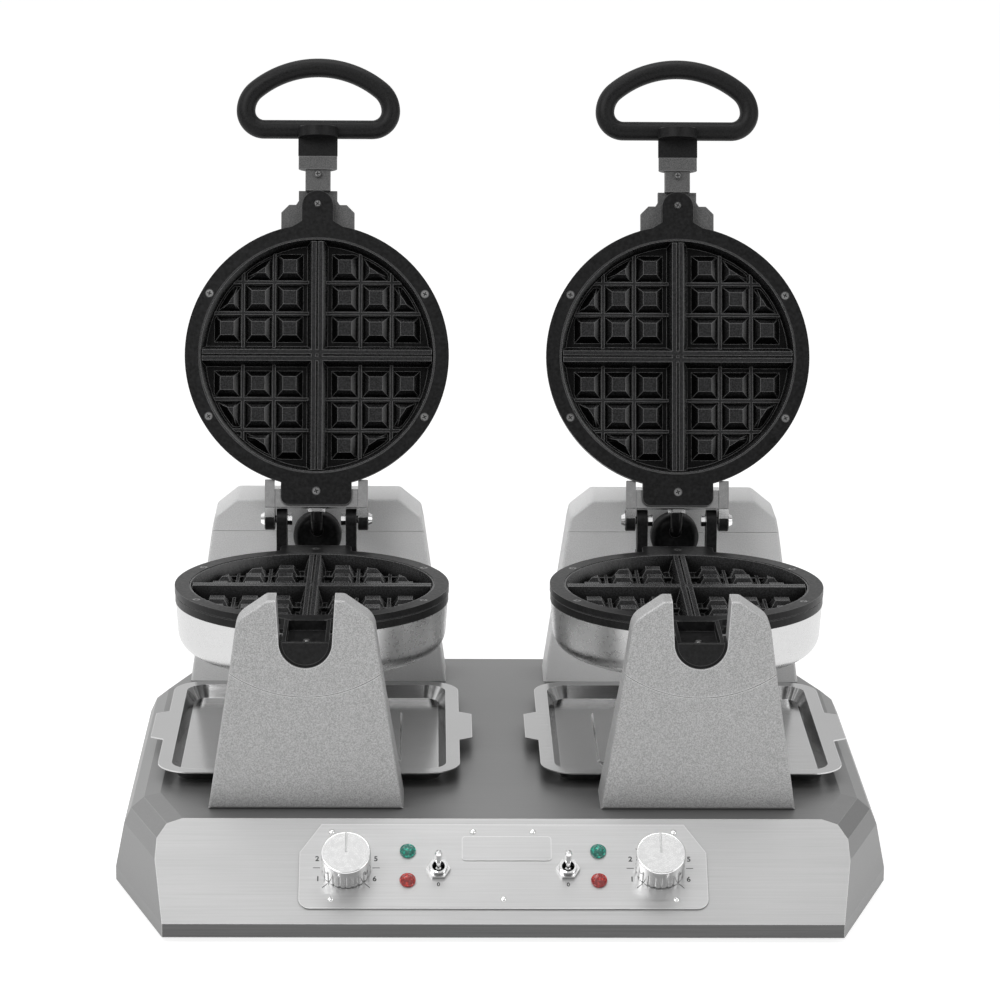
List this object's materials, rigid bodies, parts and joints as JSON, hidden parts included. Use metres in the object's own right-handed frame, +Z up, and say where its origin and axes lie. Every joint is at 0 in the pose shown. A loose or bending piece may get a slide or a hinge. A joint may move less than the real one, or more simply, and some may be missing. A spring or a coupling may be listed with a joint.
{
  "type": "double belgian waffle maker",
  "caption": "Commercial double waffle iron: two round irons that turn over in supports on a steel base, with lids, trays, dials, lamps and switches.",
  "frame": {"origin": "on the floor under the middle of the base, at the undersides of the rubber feet", "axes": "+X to the right as the cook faces the dials, +Y to the back, +Z up"},
  "size_m": [0.547, 0.4786, 0.5461],
  "materials": {
    "base_steel": "satin",
    "panel_steel": "satin",
    "hammered_silver": "satin",
    "shell_steel": "satin",
    "rim_black": "satin",
    "plate_coating": "gloss",
    "speckled_grey": "matte",
    "handle_black": "satin",
    "black_plastic": "matte",
    "plain_steel": "satin",
    "tray_steel": "satin",
    "heater_steel": "matte",
    "bright_chrome": "gloss",
    "conduit_steel": "satin",
    "bearing_bronze": "satin",
    "foot_rubber": "matte",
    "insulator": "matte",
    "green_lens": "gloss",
    "red_lens": "gloss"
  },
  "bodies": {
    "root": {"base_housing": "base_steel", "bottom_plate": "base_steel", "base_feet": "foot_rubber", "control_panel": "panel_steel", "green_lamps": "green_lens", "red_lamps": "red_lens", "switch_bodies": "bright_chrome", "thermostats": "plain_steel", "inlet_gland": "black_plastic", "terminal_block": "insulator", "front_liners": "black_plastic", "rear_bearings": "bearing_bronze", "left_front_post": "hammered_silver", "left_front_cradle": "hammered_silver", "left_rear_post": "hammered_silver", "left_rear_cap": "hammered_silver", "right_front_post": "hammered_silver", "right_front_cradle": "hammered_silver", "right_rear_post": "hammered_silver", "right_rear_cap": "hammered_silver"},
    "left_iron": {"left_lower_shell": "shell_steel", "left_lower_rim": "rim_black", "left_lower_plate": "plate_coating", "left_lower_heater": "heater_steel", "left_lower_screws": "plain_steel", "left_turning_shaft": "rim_black", "left_hinge_base": "rim_black", "left_hinge_bolts": "bright_chrome", "left_conduit": "conduit_steel"},
    "left_lid": {"left_lid_shell": "shell_steel", "left_lid_rim": "rim_black", "left_lid_plate": "plate_coating", "left_lid_heater": "heater_steel", "left_lid_screws": "plain_steel", "left_handle_bracket": "speckled_grey", "left_handle": "handle_black", "left_hinge_arms": "plain_steel"},
    "left_tray": {"left_tray": "tray_steel"},
    "left_knob": {"left_knob": "bright_chrome"},
    "left_switch_lever": {"left_switch_lever": "bright_chrome"},
    "right_iron": {"right_lower_shell": "shell_steel", "right_lower_rim": "rim_black", "right_lower_plate": "plate_coating", "right_lower_heater": "heater_steel", "right_lower_screws": "plain_steel", "right_turning_shaft": "rim_black", "right_hinge_base": "rim_black", "right_hinge_bolts": "bright_chrome", "right_conduit": "conduit_steel"},
    "right_lid": {"right_lid_shell": "shell_steel", "right_lid_rim": "rim_black", "right_lid_plate": "plate_coating", "right_lid_heater": "heater_steel", "right_lid_screws": "plain_steel", "right_handle_bracket": "speckled_grey", "right_handle": "handle_black", "right_hinge_arms": "plain_steel"},
    "right_tray": {"right_tray": "tray_steel"},
    "right_knob": {"right_knob": "bright_chrome"},
    "right_switch_lever": {"right_switch_lever": "bright_chrome"}
  },
  "joints": [
    {"name": "left_turn", "type": "hinge", "parent": "root", "child": "left_iron", "pos_m": [-0.1375, 0.0147, 0.1876], "axis": [0, 1, 0], "range_deg": [-20, 20]},
    {"name": "left_lid_hinge", "type": "hinge", "parent": "left_iron", "child": "left_lid", "pos_m": [-0.1375, 0.1387, 0.2056], "axis": [1, 0, 0], "range_deg": [0, 107.3], "deforming": ["left_conduit"]},
    {"name": "left_tray_slide", "type": "slide", "parent": "root", "child": "left_tray", "axis": [-1, 0, 0], "range_m": [0, 0.24]},
    {"name": "left_knob_turn", "type": "hinge", "parent": "root", "child": "left_knob", "pos_m": [-0.108, -0.20994, 0.04932], "axis": [0, -0.6139, 0.7894], "range_deg": [-130, 130]},
    {"name": "left_switch", "type": "hinge", "parent": "root", "child": "left_switch_lever", "pos_m": [-0.0446, -0.20652, 0.04248], "axis": [1, 0, 0], "range_deg": [0, 28]},
    {"name": "right_turn", "type": "hinge", "parent": "root", "child": "right_iron", "pos_m": [0.1375, 0.0147, 0.1876], "axis": [0, 1, 0], "range_deg": [-20, 20]},
    {"name": "right_lid_hinge", "type": "hinge", "parent": "right_iron", "child": "right_lid", "pos_m": [0.1375, 0.1387, 0.2056], "axis": [1, 0, 0], "range_deg": [0, 107.3], "deforming": ["right_conduit"]},
    {"name": "right_tray_slide", "type": "slide", "parent": "root", "child": "right_tray", "axis": [1, 0, 0], "range_m": [0, 0.24]},
    {"name": "right_knob_turn", "type": "hinge", "parent": "root", "child": "right_knob", "pos_m": [0.108, -0.20994, 0.04932], "axis": [0, -0.6139, 0.7894], "range_deg": [-130, 130]},
    {"name": "right_switch", "type": "hinge", "parent": "root", "child": "right_switch_lever", "pos_m": [0.0446, -0.20652, 0.04248], "axis": [1, 0, 0], "range_deg": [0, 28]}
  ]
}
